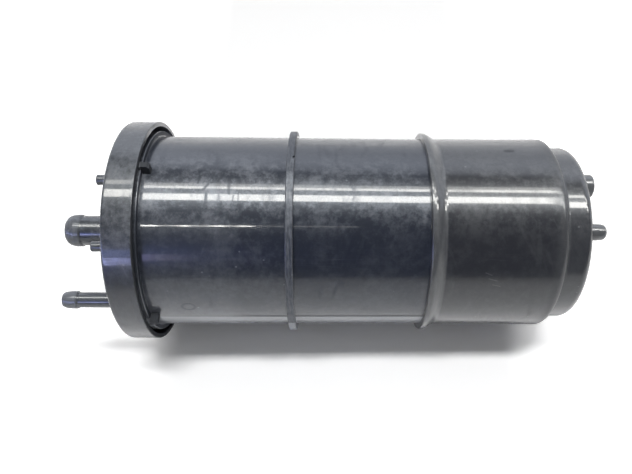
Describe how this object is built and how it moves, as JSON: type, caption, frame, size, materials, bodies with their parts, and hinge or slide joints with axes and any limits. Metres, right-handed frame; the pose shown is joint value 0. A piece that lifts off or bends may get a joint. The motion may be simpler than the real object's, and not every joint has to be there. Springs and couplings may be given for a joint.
{
  "type": "charcoal canister",
  "caption": "Cylindrical fuel-vapour canister of black plastic, with a broad rimmed port cover, a mid rib, a flared joint lip and a stepped end cap.",
  "frame": {"origin": "on the canister's axis, in the middle of the strap seat between the mid rib and the joint lip", "axes": "X along the canister's axis, with the hose ports towards -X and the vent stub towards +X; +Z through the upper claw and the upper peg"},
  "size_m": [0.3184, 0.1382, 0.1382],
  "materials": {
    "shell_plastic": "glossy black, scuffed and dusty",
    "cover_plastic": "glossy black, scuffed",
    "cap_plastic": "glossy black, dusty",
    "seal_rubber": "matt",
    "grid_plastic": "natural, matt",
    "filter_fleece": "fibrous",
    "filter_foam": "open-celled",
    "carbon": "granular, dull",
    "spring_steel": "drawn wire"
  },
  "bodies": {
    "root": {"canister_body": "shell_plastic", "port_cover": "cover_plastic", "end_cap": "cap_plastic", "cover_seal": "seal_rubber", "support_grid": "grid_plastic", "pressure_plate": "grid_plastic", "port_fleece": "filter_fleece", "vent_fleece": "filter_fleece", "vent_foam": "filter_foam", "carbon_bed": "carbon", "spring_a": "spring_steel", "spring_b": "spring_steel", "spring_c": "spring_steel"}
  },
  "joints": []
}
